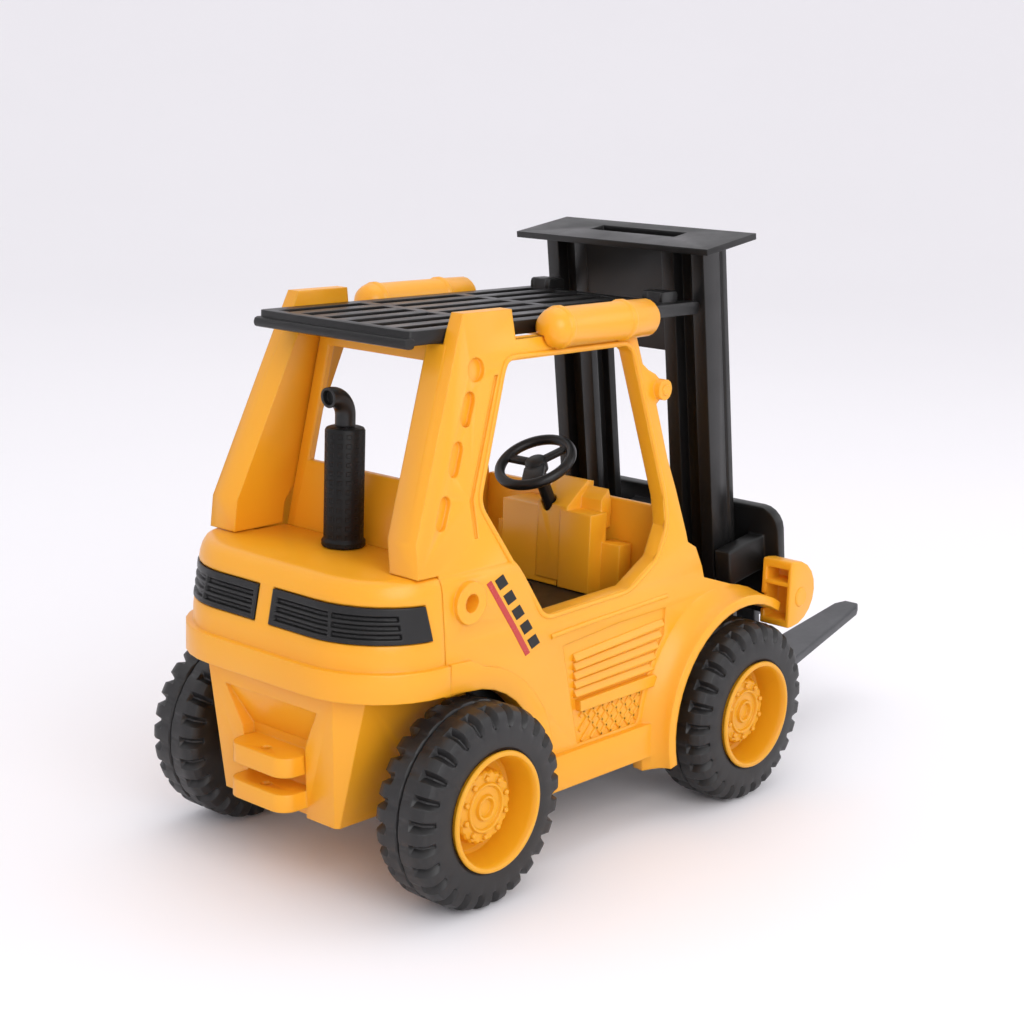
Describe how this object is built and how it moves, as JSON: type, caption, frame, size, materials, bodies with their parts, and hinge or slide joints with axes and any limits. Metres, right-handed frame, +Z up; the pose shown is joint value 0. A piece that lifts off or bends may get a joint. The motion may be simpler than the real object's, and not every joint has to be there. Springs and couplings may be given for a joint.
{
  "type": "toy forklift truck",
  "caption": "Toy forklift truck with rolling wheels, open cab with steering wheel and slatted roof guard, tilting mast, and a lifting carriage with forks.",
  "frame": {"origin": "on the ground under the middle of the object's bounding box", "axes": "+X towards the forks, +Y to the driver's left, +Z up"},
  "size_m": [0.2972, 0.1212, 0.1853],
  "materials": {
    "yellow_plastic": "glossy moulded",
    "black_plastic": "semi-gloss moulded",
    "tyre_plastic": "satin moulded",
    "grey_plastic": "satin moulded",
    "steel": "plain drawn wire"
  },
  "bodies": {
    "truck_body": {"rear_hood": "yellow_plastic", "cab_side_left": "yellow_plastic", "cab_side_right": "yellow_plastic", "rear_window_frame": "yellow_plastic", "front_wall": "yellow_plastic", "roof_front_rail": "yellow_plastic", "roof_tank_left": "yellow_plastic", "roof_tank_right": "yellow_plastic", "headlight_left": "yellow_plastic", "headlight_right": "yellow_plastic", "dash_console": "yellow_plastic", "counterweight": "yellow_plastic", "rear_vent_left": "black_plastic", "rear_vent_right": "black_plastic", "roof_guard": "black_plastic", "cab_floor": "black_plastic", "seat": "black_plastic", "chassis": "black_plastic", "exhaust_muffler": "black_plastic", "exhaust_tail_pipe": "black_plastic", "mast_pivot_pin": "steel", "rear_screw_left": "steel", "rear_screw_right": "steel", "front_screw_left": "steel", "front_screw_right": "steel"},
    "front_wheelset": {"front_axle": "steel", "front_rim_left": "yellow_plastic", "front_rim_right": "yellow_plastic", "front_tyre_left": "tyre_plastic", "front_tyre_right": "tyre_plastic"},
    "rear_wheelset": {"rear_axle": "steel", "rear_rim_left": "yellow_plastic", "rear_rim_right": "yellow_plastic", "rear_tyre_left": "tyre_plastic", "rear_tyre_right": "tyre_plastic"},
    "steering": {"steering_wheel": "black_plastic", "steering_column": "black_plastic"},
    "mast": {"mast_frame": "black_plastic"},
    "carriage": {"fork_carriage": "black_plastic", "fork_left": "grey_plastic", "fork_right": "grey_plastic"}
  },
  "joints": [
    {"name": "front_wheels_spin", "type": "hinge", "parent": "truck_body", "child": "front_wheelset", "pos_m": [0.0184, 0, 0.03], "axis": [0, 1, 0], "continuous": true},
    {"name": "rear_wheels_spin", "type": "hinge", "parent": "truck_body", "child": "rear_wheelset", "pos_m": [-0.1096, 0, 0.03], "axis": [0, 1, 0], "continuous": true},
    {"name": "steering_spin", "type": "hinge", "parent": "truck_body", "child": "steering", "pos_m": [-0.0281, 0, 0.1113], "axis": [-0.4924, 0, 0.8704], "continuous": true},
    {"name": "mast_tilt", "type": "hinge", "parent": "truck_body", "child": "mast", "pos_m": [0.0416, 0, 0.03], "axis": [0, 1, 0], "range_deg": [0, 10]},
    {"name": "carriage_lift", "type": "slide", "parent": "mast", "child": "carriage", "axis": [-0.1538, 0, 0.9881], "range_m": [-0.006, 0.085]}
  ]
}
